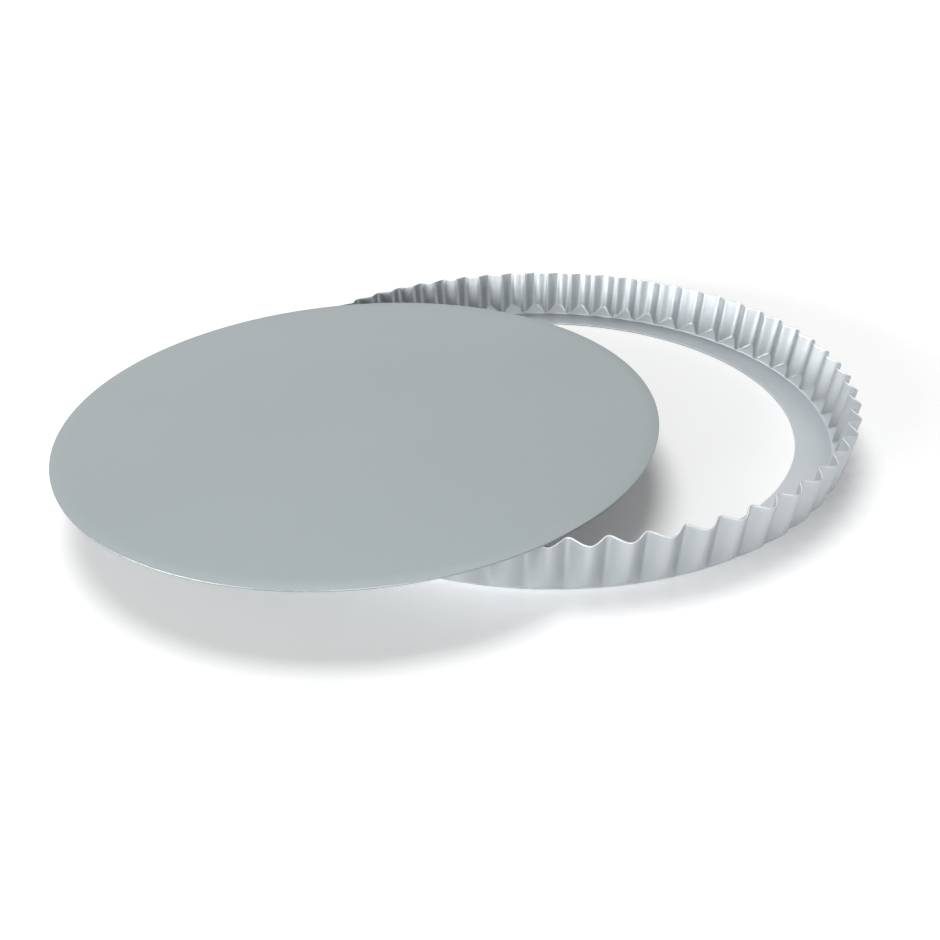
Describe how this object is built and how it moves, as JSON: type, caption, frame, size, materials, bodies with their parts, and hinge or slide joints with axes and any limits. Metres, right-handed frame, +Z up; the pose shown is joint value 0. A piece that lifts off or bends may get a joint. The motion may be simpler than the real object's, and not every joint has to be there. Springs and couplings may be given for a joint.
{
  "type": "loose-bottom pie pan",
  "caption": "Round pie pan in two pieces: a fluted, flaring ring with an inward ledge, and the flat loose base, here lying on the ring's rim.",
  "frame": {"origin": "on the table, under the middle of the box around both pieces as they lie at rest", "axes": "+Z up; +X to the right, from the base towards the ring; +Y away from the viewer"},
  "size_m": [0.3448, 0.3008, 0.0254],
  "materials": {
    "ring_coating": "satin silver-grey coating on pressed steel sheet",
    "base_coating": "matt blue-grey non-stick coating on steel sheet"
  },
  "bodies": {
    "ring": {"fluted_ring": "ring_coating"},
    "base": {"loose_base": "base_coating"}
  },
  "joints": [
    {"name": "base_lift", "type": "slide", "parent": "ring", "child": "base", "axis": [0, 0, 1], "range_m": [0, 0.1]}
  ]
}
